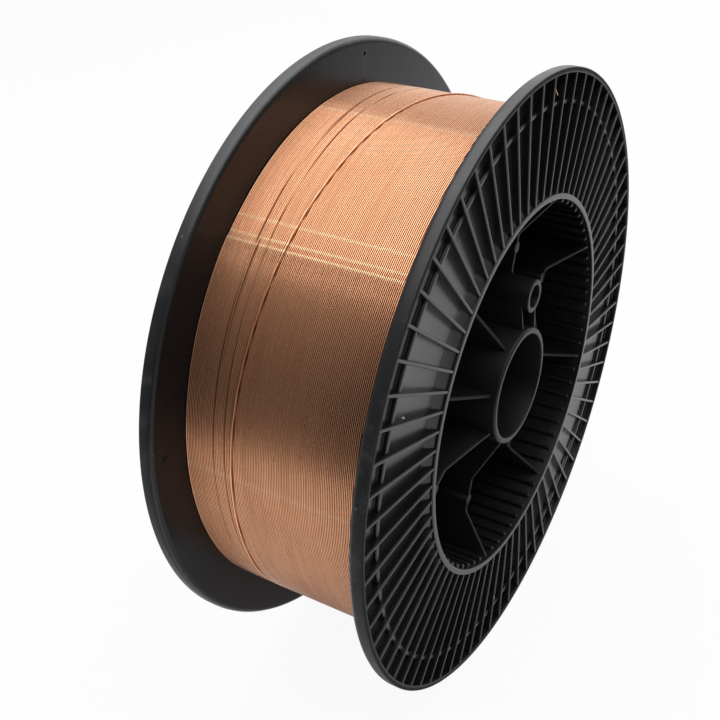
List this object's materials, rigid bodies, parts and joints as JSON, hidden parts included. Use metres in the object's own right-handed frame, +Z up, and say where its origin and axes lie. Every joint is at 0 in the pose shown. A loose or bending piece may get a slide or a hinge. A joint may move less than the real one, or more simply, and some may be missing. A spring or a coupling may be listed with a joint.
{
  "type": "welding wire spool",
  "caption": "Flanged plastic spool with ribbed flanges and a spoked core, wound full of copper-coated welding wire.",
  "frame": {"origin": "on the floor, under the middle of the spool, which stands on its two rims", "axes": "+Z up, Y along the spool's axle line; -Y is the side shown in the picture"},
  "size_m": [0.2998, 0.1044, 0.2997],
  "materials": {
    "plastic": "satin black moulded plastic",
    "wire": "bright copper-coated steel wire, close wound"
  },
  "bodies": {
    "root": {"spool": "plastic", "wire_coil": "wire"}
  },
  "joints": []
}
